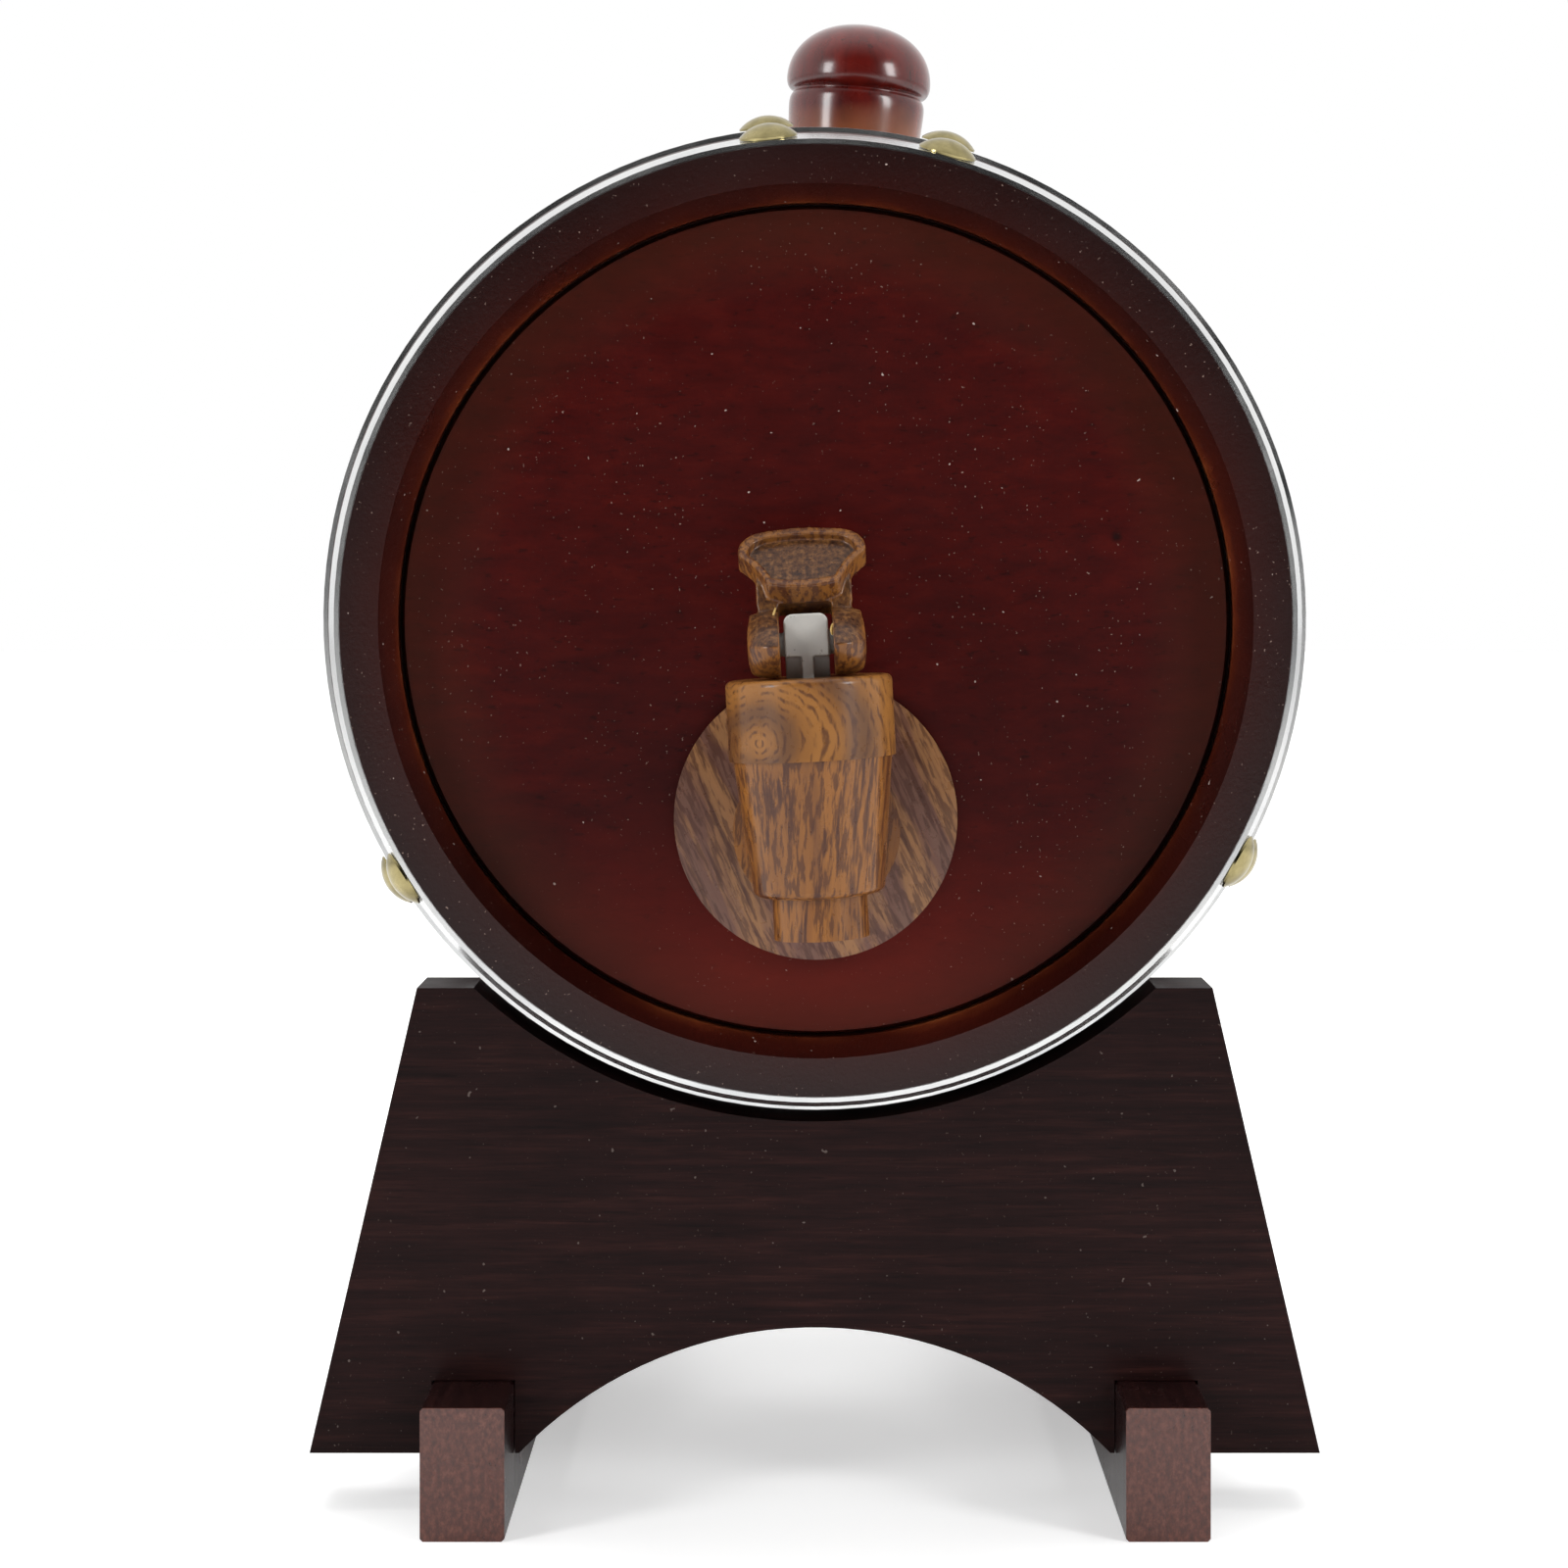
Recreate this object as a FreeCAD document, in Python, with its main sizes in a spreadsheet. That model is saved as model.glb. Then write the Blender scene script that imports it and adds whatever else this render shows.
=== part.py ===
# Small oak cask that dispenses liquor, lying on its cradle stand, with a lever tap in the front head
# and a turned bung on top. Units are millimetres and degrees. +Z is up, the tap faces -Y, and the
# origin is on the table at the centre of the stand's footprint.
import FreeCAD, Part
import Sketcher
import math
import os
import re

SIZES = {
    # Cask: staves bulge on one long arc from end to end
    "cask_length": 190.0,
    "bilge_radius": 74.0,
    "end_radius": 62.9,
    "stave_thickness": 8.5,
    "stave_count": 16,
    "chime_recess": 6.0,
    "chime_lip": 5.1,
    "chime_wall": 7.0,
    # Heads: round boards whose thinner tongue sits in the croze groove of the staves
    "head_thickness": 8.0,
    "tongue_width": 3.2,
    "tongue_depth": 2.5,
    "head_bevel": 0.9,
    "inner_bevel": 3.0,
    "croze_fit": 0.1,
    # Hoops: thin steel strips that follow the curve of the staves
    "hoop_thickness": 0.6,
    "hoop_fit": 0.02,
    "chime_hoop_near": 1.0,
    "chime_hoop_width": 9.0,
    "quarter_hoop_near": 31.0,
    "quarter_hoop_width": 10.0,
    # Nails: domed brass heads through each hoop into the staves
    "nail_head_radius": 3.9,
    "nail_head_height": 1.95,
    "nail_rim_height": 0.3,
    "nail_shank_radius": 0.6,
    "nail_shank_length": 6.0,
    "nail_tip_length": 1.6,
    "nail_hole_fit": 0.02,
    "nail_seat": 0.02,
    "nail_top_left": -5.6,
    "nail_top_right": 15.75,
    "nail_lower_right": 119.8,
    "nail_lower_left": -122.1,
    # Bung: turned stopper with a mushroom head, a groove, a collar and a tapered plug
    "bung_angle": 4.9,
    "bung_head_radius": 11.66,
    "bung_dome_radius": 13.0,
    "bung_shoulder_radius": 8.0,
    "bung_brim_radius": 6.0,
    "bung_total_height": 21.6,
    "bung_collar_height": 10.1,
    "bung_collar_widest": 6.7333,
    "bung_collar_radius": 10.85,
    "bung_collar_waist": 10.45,
    "bung_neck_swell": 0.15,
    "bung_collar_round": 5.0,
    "bung_groove_width": 1.1,
    "bung_groove_depth": 0.75,
    "bung_plug_radius": 9.0,
    "bung_plug_length": 14.0,
    "bung_plug_taper": 3.0,
    "bung_fit": 0.05,
    "bung_seat": 0.05,
    # Stand: two cradle plates notched over two rails
    "plate_front_at": 64.0,
    "plate_thickness": 12.5,
    "plate_bottom": 8.1,
    "saddle_floor": 55.08,
    "saddle_depth": 18.92,
    "saddle_horn": 8.02,
    "foot_overhang": 0.28046,
    "cradle_clearance": 0.25,
    "arch_toe": 0.6,
    "arch_rise": 17.8,
    "rail_spread": 48.4,
    "rail_width": 11.6,
    "rail_height": 18.3,
    "rail_length": 158.0,
    "rail_chamfer": 0.4,
    "notch_fit": 0.1,
    # Tap: where it stands in the front head
    "tap_drop": 26.3,
    "tap_reach": 22.0,
    "tap_lean": 3.0,
    "tap_hole_fit": 0.2,
    # Tap body: hollow cup with a spout below and a shank behind
    "spout_radius": 6.05,
    "spout_bottom": 13.7,
    "shell_bottom": 8.3,
    "shell_low_radius": 7.85,
    "shell_edge_radius": 1.2,
    "shell_top_radius": 10.1,
    "seam_height": 9.1,
    "neck_radius": 8.8,
    "neck_top": 15.3,
    "cavity_radius": 7.5,
    "seat_low": 6.0,
    "seat_high": 4.2,
    "outlet_radius": 4.3,
    "inlet_radius": 3.5,
    "cutter_overrun": 1.0,
    "cap_seat_relief": 0.3,
    "collar_radius": 10.3,
    "shank_radius": 7.9,
    "shank_length": 21.0,
    "shank_fit": 0.05,
    # Tap washers and nut on the shank
    "flange_radius": 18.85,
    "flange_thickness": 2.2,
    "flange_rim": 1.5,
    "gasket_thickness": 1.2,
    "gasket_radius": 12.5,
    "nut_flats": 24.0,
    "nut_thickness": 6.0,
    # Tap cap, screwed over the neck of the body
    "cap_radius": 10.6,
    "cap_top": 19.3,
    "cap_edge_radius": 0.8,
    "cap_roof": 2.6,
    "cap_thread_fit": 0.05,
    "stem_hole_radius": 3.02,
    # Seat cup: silicone bell held under the cap, whose nose shuts the outlet
    "cup_rim_thickness": 1.25,
    "cup_rim_gap": 0.05,
    "cup_wall": 0.9,
    "cup_clearance": 0.3,
    "cup_nose_radius": 5.2,
    "cup_shoulder": 1.5,
    "cup_pocket_radius": 3.02,
    "cup_lip_height": 3.2,
    "cup_seat_gap": 0.08,
    # Stem: cross-shaped plastic rod with a foot in the cup and a head between the lever's ears
    "stem_half_width": 2.8,
    "stem_web": 1.5,
    "stem_foot_low": 0.6,
    "stem_foot_height": 1.2,
    "stem_foot_radius": 3.4,
    "stem_foot_fit": 0.1,
    "stem_head_low": 22.0,
    "stem_head_top": 27.4,
    "stem_head_round": 1.1,
    "pin_height": 23.6,
    "pin_radius": 1.5,
    "pin_length": 2.1,
    "pin_fit": 0.06,
    "pin_end_gap": 0.2,
    # Lever: two cam ears on the stem's pins, two arms and a dished thumb tray
    "ear_half_gap": 3.4,
    "ear_half_width": 7.45,
    "ear_top_radius": 4.3,
    "ear_brow_radius": 15.4,
    "ear_brow_turn": 20.0,
    "ear_back_turn": 60.0,
    "cam_rise": 2.5,
    "cam_gap": 0.1,
    "lever_travel": 70.0,
    "arm_half_width": 6.1,
    "arm_front": 1.8,
    "arm_back": 3.7,
    "arm_start": 2.2,
    "arm_end": 6.0,
    "yoke_radius": 5.15,
    "tray_lean": 50.0,
    "tray_thickness": 3.0,
    "tray_length": 11.5,
    "tray_half_width": 8.15,
    "tray_wide_at": 6.7,
    "tray_back_half": 5.1,
    "tray_shoulder_radius": 3.7,
    "tray_cheek_radius": 15.0,
    "tray_end_radius": 24.0,
    "tray_lip_radius": 14.0,
    "tray_lip_crown": 0.5,
    "tray_lip_half": 4.6,
    "tray_lip_back": 0.5,
    "tray_lip_height": 5.2,
    "tray_rim": 1.2,
    "tray_dish_depth": 1.1,
}

PARTS_FOLDER = "parts"
ON_AXIS = 1e-9

doc = FreeCAD.newDocument("cask_dispenser")
sheet = doc.addObject("Spreadsheet::Sheet", "Sizes")
for row, (alias, amount) in enumerate(SIZES.items(), start=1):
    cell = "A" + str(row)
    sheet.set(cell, str(amount))
    sheet.setAlias(cell, alias)
doc.recompute()

nodes = []


# Values and expressions
def bound(text):
    """The expression as the document reads it: each size's name gets its sheet in front."""
    return re.sub(r"[a-z]+(?:_[a-z]+)+", lambda found: "Sizes." + found.group(0), text)


def value(text):
    """What the expression comes to with the sheet's present sizes."""
    return float(sheet.evalExpression(bound(text)))


def keep(sub_part):
    """Count the object as a sub-part that is written out under its label."""
    nodes.append(sub_part)
    return sub_part


# Sketches
def plane_of(body, role):
    return [item for item in body.Origin.OriginFeatures if item.Role == role][0]


def new_sketch(body, name, role):
    sketch = body.newObject("Sketcher::SketchObject", name)
    sketch.AttachmentSupport = [(plane_of(body, role), "")]
    sketch.MapMode = "FlatFace"
    return sketch


def fix_coordinate(sketch, kind, geometry, end, text, label):
    """Tie one coordinate of a point to its expression, or to the axis when it is zero."""
    amount = value(text)
    if abs(amount) < ON_AXIS:
        axis = -2 if kind == "DistanceX" else -1
        sketch.addConstraint(Sketcher.Constraint("PointOnObject", geometry, end, axis))
        return
    number = sketch.addConstraint(Sketcher.Constraint(kind, geometry, end, amount))
    sketch.renameConstraint(number, label)
    sketch.setExpression("Constraints." + label, bound(text))


def arc_between(start, finish, radius, side):
    """Arc shorter than a half circle, with its centre on the named side of the way along it."""
    along = finish - start
    across = FreeCAD.Vector(-along.y, along.x, 0).normalize()
    rise = math.sqrt(max(radius**2 - (along.Length / 2) ** 2, 0.0))
    centre = (start + finish) * 0.5 + across * (rise if side == "left" else -rise)
    first, last = (start, finish) if side == "left" else (finish, start)
    first_angle = math.atan2(first.y - centre.y, first.x - centre.x)
    last_angle = math.atan2(last.y - centre.y, last.x - centre.x)
    whole = Part.Circle(centre, FreeCAD.Vector(0, 0, 1), radius)
    return Part.ArcOfCircle(whole, first_angle, last_angle)


def outline(body, name, role, steps):
    """Closed outline through the steps.

    Each step is (x, y) or (x, y, radius, side): the run from it to the next step is straight, or
    an arc of that radius with its centre on that side. All the sizes are expressions.
    """
    sketch = new_sketch(body, name, role)
    points = [FreeCAD.Vector(value(step[0]), value(step[1]), 0) for step in steps]
    starts = []
    finishes = []
    for index, step in enumerate(steps):
        here = points[index]
        there = points[(index + 1) % len(points)]
        if len(step) == 2:
            sketch.addGeometry(Part.LineSegment(here, there))
            starts.append(1)
            finishes.append(2)
        else:
            sketch.addGeometry(arc_between(here, there, value(step[2]), step[3]))
            starts.append(1 if step[3] == "left" else 2)
            finishes.append(2 if step[3] == "left" else 1)
    for index, step in enumerate(steps):
        after = (index + 1) % len(steps)
        joined = Sketcher.Constraint("Coincident", index, finishes[index], after, starts[after])
        sketch.addConstraint(joined)
    for index, step in enumerate(steps):
        fix_coordinate(sketch, "DistanceX", index, starts[index], step[0], "x" + str(index))
        fix_coordinate(sketch, "DistanceY", index, starts[index], step[1], "y" + str(index))
        if len(step) == 4:
            number = sketch.addConstraint(Sketcher.Constraint("Radius", index, value(step[2])))
            sketch.renameConstraint(number, "radius" + str(index))
            sketch.setExpression("Constraints.radius" + str(index), bound(step[2]))
    return sketch


def circle(body, name, role, x, y, radius):
    sketch = new_sketch(body, name, role)
    centre = FreeCAD.Vector(value(x), value(y), 0)
    sketch.addGeometry(Part.Circle(centre, FreeCAD.Vector(0, 0, 1), value(radius)))
    fix_coordinate(sketch, "DistanceX", 0, 3, x, "across")
    fix_coordinate(sketch, "DistanceY", 0, 3, y, "up")
    number = sketch.addConstraint(Sketcher.Constraint("Radius", 0, value(radius)))
    sketch.renameConstraint(number, "radius")
    sketch.setExpression("Constraints.radius", bound(radius))
    return sketch


# Features
def new_body(label):
    body = doc.addObject("PartDesign::Body", label)
    body.Label = label
    return body


def extrude(body, sketch, length, way="both", kind="Pad"):
    """Pad or Pocket: both ways from the sketch, or towards its normal or against it."""
    feature = body.newObject("PartDesign::" + kind, sketch.Name + "_" + kind.lower())
    feature.Profile = sketch
    feature.setExpression("Length", bound(length))
    feature.Midplane = way == "both"
    towards_normal = kind == "Pad"
    feature.Reversed = way != "both" and (way == "normal") != towards_normal
    sketch.Visibility = False
    return feature


def turn(body, sketch, axis, angle="360", kind="Revolution"):
    feature = body.newObject("PartDesign::" + kind, sketch.Name + "_" + kind.lower())
    feature.Profile = sketch
    feature.ReferenceAxis = (sketch, [axis])
    feature.setExpression("Angle", bound(angle))
    feature.Midplane = True
    return feature


def place(item, x="0", y="0", z="0", axis=(0, 1, 0), angle="0"):
    """Set the place from expressions, turned by the angle about the axis."""
    base = FreeCAD.Vector(value(x), value(y), value(z))
    item.Placement = FreeCAD.Placement(base, FreeCAD.Rotation(FreeCAD.Vector(*axis), value(angle)))
    item.setExpression("Placement.Base.x", bound(x))
    item.setExpression("Placement.Base.y", bound(y))
    item.setExpression("Placement.Base.z", bound(z))


def cut_away(label, base, tools):
    """The base less all the tools, as one sub-part."""
    joined = tools[0]
    if len(tools) > 1:
        joined = doc.addObject("Part::MultiFuse", label + "_cutters")
        joined.Shapes = tools
    result = doc.addObject("Part::Cut", label)
    result.Label = label
    result.Base = base
    result.Tool = joined
    return result


# Cask curve, as expressions of the distance from the middle of the cask
HALF = "cask_length / 2"
BULGE = "(bilge_radius - end_radius)"
BEND_RADIUS = f"((({HALF})^2 + {BULGE}^2) / (2 * {BULGE}))"
HEAD_FACE = f"({HALF} - chime_recess)"
CHIME_RADIUS = "(end_radius - chime_wall)"
TONGUE_SETBACK = "((head_thickness - tongue_width) / 2)"
GROOVE_OUT = f"({HEAD_FACE} - {TONGUE_SETBACK} + croze_fit)"
GROOVE_IN = f"({HEAD_FACE} - {TONGUE_SETBACK} - tongue_width - croze_fit)"
GROOVE_RADIUS = f"({CHIME_RADIUS} + tongue_depth + croze_fit)"
HOLLOW_RISE = f"(bilge_radius - stave_thickness - {CHIME_RADIUS})"
HOLLOW_BEND = f"(({GROOVE_IN}^2 + {HOLLOW_RISE}^2) / (2 * {HOLLOW_RISE}))"


def radius_at(along, proud="0"):
    """Radius of the staves' outside, or of a skin that stands proud of it, at a place along."""
    bend = f"({BEND_RADIUS} + {proud})"
    return f"(bilge_radius - {BEND_RADIUS} + sqrt({bend}^2 - ({along})^2))"


SADDLE_RADIUS = (
    "("
    + radius_at(f"({HALF} - quarter_hoop_near - quarter_hoop_width)", "hoop_fit + hoop_thickness")
    + " + cradle_clearance)"
)
AXIS_HEIGHT = f"(saddle_floor + {SADDLE_RADIUS})"


# Nails, each hoop's four in one sub-part
HOOPS = {
    "front_chime_hoop": ("chime_hoop_near", "chime_hoop_width", -1),
    "front_quarter_hoop": ("quarter_hoop_near", "quarter_hoop_width", -1),
    "rear_quarter_hoop": ("quarter_hoop_near", "quarter_hoop_width", 1),
    "rear_chime_hoop": ("chime_hoop_near", "chime_hoop_width", 1),
}
NAIL_ANGLES = ("nail_top_left", "nail_top_right", "nail_lower_right", "nail_lower_left")


def nail_place(near, width, side, angle):
    """On the hoop's middle line, square to the strip, at an angle clockwise from the top."""
    along = side * value(f"{HALF} - {near} - {width} / 2")
    out = value(radius_at(str(along), "hoop_fit + hoop_thickness + nail_seat"))
    slope = math.degrees(math.asin(along / value(BEND_RADIUS)))
    roll = FreeCAD.Rotation(FreeCAD.Vector(0, 1, 0), value(angle))
    tilt = FreeCAD.Rotation(FreeCAD.Vector(1, 0, 0), -slope)
    centre = FreeCAD.Vector(0, 0, value(AXIS_HEIGHT))
    seat = centre + roll.multVec(FreeCAD.Vector(0, along, out))
    return FreeCAD.Placement(seat, roll.multiply(tilt))


def make_nail(name, spot):
    dome_rise = "(nail_head_height - nail_rim_height)"
    dome_radius = f"((nail_head_radius^2 + {dome_rise}^2) / (2 * {dome_rise}))"
    body = new_body(name)
    steps = [
        ("0", "-nail_shank_length"),
        ("nail_shank_radius", "-nail_shank_length + nail_tip_length"),
        ("nail_shank_radius", "0"),
        ("nail_head_radius", "0"),
        ("nail_head_radius", "nail_rim_height", dome_radius, "left"),
        ("0", "nail_head_height"),
    ]
    turn(body, outline(body, name + "_outline", "XZ_Plane", steps), "V_Axis")
    body.Placement = spot
    return body


def make_nail_drill(name, spot):
    drill = doc.addObject("Part::Cylinder", name)
    drill.setExpression("Radius", bound("nail_shank_radius + nail_hole_fit"))
    drill.setExpression("Height", bound("nail_shank_length + hoop_thickness"))
    drop = FreeCAD.Placement(FreeCAD.Vector(0, 0, -value("nail_shank_length")), FreeCAD.Rotation())
    drill.Placement = spot.multiply(drop)
    return drill


def make_nails():
    """All the nails, one sub-part for each hoop, and the drills for their holes by hoop."""
    drills = {}
    for hoop, (near, width, side) in HOOPS.items():
        heads = []
        drills[hoop] = {}
        for angle in NAIL_ANGLES:
            spot = nail_place(near, width, side, angle)
            heads.append(make_nail(f"{hoop}_{angle}", spot))
            drills[hoop][angle] = make_nail_drill(f"{hoop}_{angle}_drill", spot)
        group = doc.addObject("Part::Compound", hoop + "_nails")
        group.Label = hoop + "_nails"
        group.Links = heads
        keep(group)
    return drills


# Staves: sixteen bent planks, the first one bored for the bung
def stave_steps():
    return [
        (f"-{HALF}", "end_radius - chime_lip"),
        (f"-{HEAD_FACE}", CHIME_RADIUS),
        (f"-{GROOVE_OUT}", CHIME_RADIUS),
        (f"-{GROOVE_OUT}", GROOVE_RADIUS),
        (f"-{GROOVE_IN}", GROOVE_RADIUS),
        (f"-{GROOVE_IN}", CHIME_RADIUS, HOLLOW_BEND, "right"),
        (GROOVE_IN, CHIME_RADIUS),
        (GROOVE_IN, GROOVE_RADIUS),
        (GROOVE_OUT, GROOVE_RADIUS),
        (GROOVE_OUT, CHIME_RADIUS),
        (HEAD_FACE, CHIME_RADIUS),
        (HALF, "end_radius - chime_lip"),
        (HALF, "end_radius", BEND_RADIUS, "left"),
        (f"-{HALF}", "end_radius"),
    ]


def make_bung_reamer():
    """Tapered cutter for the bung hole, the plug's own cone with the fit added."""
    reamer = doc.addObject("Part::Cone", "bung_reamer")
    low = "bilge_radius - bung_plug_length"
    reach = "bung_plug_length + bung_fit"
    reamer.setExpression("Radius1", bound(plug_radius("bung_plug_length") + " + bung_fit"))
    reamer.setExpression("Radius2", bound(plug_radius("-bung_fit") + " + bung_fit"))
    reamer.setExpression("Height", bound(reach))
    roll = FreeCAD.Rotation(FreeCAD.Vector(0, 1, 0), value("bung_angle"))
    foot = roll.multVec(FreeCAD.Vector(0, 0, value(low)))
    reamer.Placement = FreeCAD.Placement(foot + FreeCAD.Vector(0, 0, value(AXIS_HEIGHT)), roll)
    return reamer


def make_staves(drills):
    count = int(value("stave_count"))
    stave_turn = 360 / count
    nail_turn = math.degrees(value("nail_head_radius / end_radius"))
    for index in range(count):
        label = f"stave_{index + 1:02d}"
        angle = f"bung_angle + {index} * 360 / stave_count"
        cutters = [make_bung_reamer()] if index == 0 else []
        for hoop_drills in drills.values():
            for nail_angle, drill in hoop_drills.items():
                apart = (value(nail_angle) - value(angle) + 180) % 360 - 180
                if abs(apart) < (stave_turn + nail_turn) / 2:
                    cutters.append(drill)
        body = new_body(label + "_blank" if cutters else label)
        sketch = outline(body, label + "_outline", "YZ_Plane", stave_steps())
        turn(body, sketch, "H_Axis", "360 / stave_count")
        place(body, z=AXIS_HEIGHT, angle=angle)
        if cutters:
            keep(cut_away(label, body, cutters))
        else:
            keep(body)


# Heads
def make_head(label, y, half_turn, tap_hole):
    rim = f"({CHIME_RADIUS} - croze_fit)"
    tongue = f"({CHIME_RADIUS} + tongue_depth)"
    steps = [
        ("0", "0"),
        ("0", f"{CHIME_RADIUS} - head_bevel"),
        (TONGUE_SETBACK, rim),
        (TONGUE_SETBACK, tongue),
        (f"{TONGUE_SETBACK} + tongue_width", tongue),
        (f"{TONGUE_SETBACK} + tongue_width", rim),
        ("head_thickness", f"{rim} - inner_bevel"),
        ("head_thickness", "0"),
    ]
    body = new_body(label)
    turn(body, outline(body, label + "_outline", "YZ_Plane", steps), "H_Axis")
    if tap_hole:
        hole = circle(body, "tap_hole", "XZ_Plane", "0", "-tap_drop", "shank_radius + tap_hole_fit")
        extrude(body, hole, "2 * (head_thickness + cutter_overrun)", kind="Pocket")
    place(body, y=y, z=AXIS_HEIGHT, axis=(0, 0, 1), angle=half_turn)
    keep(body)


# Hoops
def make_hoop(label, near, width, side, drills):
    """Steel strip between two stations along the cask, drilled for its nails."""
    outer_end = f"({HALF} - {near})"
    inner_end = f"({HALF} - {near} - {width})"
    if side < 0:
        low, high = f"-{outer_end}", f"-{inner_end}"
    else:
        low, high = inner_end, outer_end
    under = "hoop_fit"
    over = "(hoop_fit + hoop_thickness)"
    steps = [
        (low, radius_at(low, under), f"{BEND_RADIUS} + {under}", "right"),
        (high, radius_at(high, under)),
        (high, radius_at(high, over), f"{BEND_RADIUS} + {over}", "left"),
        (low, radius_at(low, over)),
    ]
    body = new_body(label + "_strip")
    turn(body, outline(body, label + "_outline", "YZ_Plane", steps), "H_Axis")
    place(body, z=AXIS_HEIGHT)
    keep(cut_away(label, body, list(drills.values())))


# Bung
def plug_radius(depth):
    return f"(bung_plug_radius - ({depth}) * tan(bung_plug_taper))"


def make_bung():
    dome_centre = "(bung_total_height - bung_dome_radius)"
    shoulder_side = "(bung_head_radius - bung_shoulder_radius)"
    reach = "(bung_dome_radius - bung_shoulder_radius)"
    wide_height = f"({dome_centre} + sqrt({reach}^2 - {shoulder_side}^2))"
    joint_share = f"(bung_dome_radius / {reach})"
    groove_top = "(bung_collar_height + bung_groove_width)"
    inset = "(bung_collar_radius - bung_groove_depth)"
    swell = "(bung_collar_radius + bung_neck_swell)"
    steps = [
        ("0", "-bung_plug_length"),
        (plug_radius("bung_plug_length"), "-bung_plug_length"),
        (plug_radius("-bung_seat"), "bung_seat"),
        ("bung_collar_waist", "bung_seat"),
        ("bung_collar_radius", "bung_collar_widest", "bung_collar_round", "left"),
        (inset, "bung_collar_height"),
        (swell, groove_top, "bung_brim_radius", "left"),
        ("bung_head_radius", wide_height, "bung_shoulder_radius", "left"),
        (
            f"{shoulder_side} * {joint_share}",
            f"{dome_centre} + ({wide_height} - {dome_centre}) * {joint_share}",
            "bung_dome_radius",
            "left",
        ),
        ("0", "bung_total_height"),
    ]
    body = new_body("bung")
    turn(body, outline(body, "bung_outline", "XZ_Plane", steps), "V_Axis")
    place(
        body,
        x="bilge_radius * sin(bung_angle)",
        z=f"{AXIS_HEIGHT} + bilge_radius * cos(bung_angle)",
        angle="bung_angle",
    )
    keep(body)


# Stand
def make_plate(label, side):
    plate_top = "(saddle_floor + saddle_depth)"
    saddle_half = f"sqrt({SADDLE_RADIUS}^2 - ({SADDLE_RADIUS} - saddle_depth)^2)"
    top_half = f"({saddle_half} + saddle_horn)"
    bottom_half = f"({SADDLE_RADIUS} + foot_overhang)"
    notch_out = "(rail_spread + rail_width / 2 + notch_fit)"
    notch_in = "(rail_spread - rail_width / 2 - notch_fit)"
    notch_top = "(rail_height + notch_fit)"
    arch_half = f"({notch_in} - arch_toe)"
    arch_radius = f"({arch_half}^2 + arch_rise^2) / (2 * arch_rise)"
    steps = [
        (f"-{top_half}", plate_top),
        (f"-{saddle_half}", plate_top, SADDLE_RADIUS, "left"),
        (saddle_half, plate_top),
        (top_half, plate_top),
        (bottom_half, "plate_bottom"),
        (notch_out, "plate_bottom"),
        (notch_out, notch_top),
        (notch_in, notch_top),
        (notch_in, "plate_bottom"),
        (arch_half, "plate_bottom", arch_radius, "left"),
        (f"-{arch_half}", "plate_bottom"),
        (f"-{notch_in}", "plate_bottom"),
        (f"-{notch_in}", notch_top),
        (f"-{notch_out}", notch_top),
        (f"-{notch_out}", "plate_bottom"),
        (f"-{bottom_half}", "plate_bottom"),
    ]
    body = new_body(label)
    extrude(body, outline(body, label + "_outline", "XZ_Plane", steps), "plate_thickness")
    place(body, y=f"{side} * (plate_front_at - plate_thickness / 2)")
    keep(body)


def make_rail(label, side):
    half = "(rail_width / 2)"
    steps = [
        (f"-{half} + rail_chamfer", "0"),
        (f"{half} - rail_chamfer", "0"),
        (half, "rail_chamfer"),
        (half, "rail_height - rail_chamfer"),
        (f"{half} - rail_chamfer", "rail_height"),
        (f"-{half} + rail_chamfer", "rail_height"),
        (f"-{half}", "rail_height - rail_chamfer"),
        (f"-{half}", "rail_chamfer"),
    ]
    body = new_body(label)
    extrude(body, outline(body, label + "_outline", "XZ_Plane", steps), "rail_length")
    place(body, x=f"{side} * rail_spread")
    keep(body)


# Tap, modelled upright about its valve axis, with height 0 on the shank's axis
FLANGE_BACK = "(tap_reach - gasket_thickness)"
FLANGE_FRONT = f"({FLANGE_BACK} - flange_thickness)"
NUT_FRONT = "(tap_reach + head_thickness + gasket_thickness)"


def place_on_tap(item, height="0"):
    """Stand the piece on the valve axis, leaning as the tap does about the shank's axis."""
    place(
        item,
        x=f"-({height}) * sin(tap_lean)",
        y=f"-{HEAD_FACE} - tap_reach",
        z=f"{AXIS_HEIGHT} - tap_drop + ({height}) * cos(tap_lean)",
        angle="-tap_lean",
    )


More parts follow.
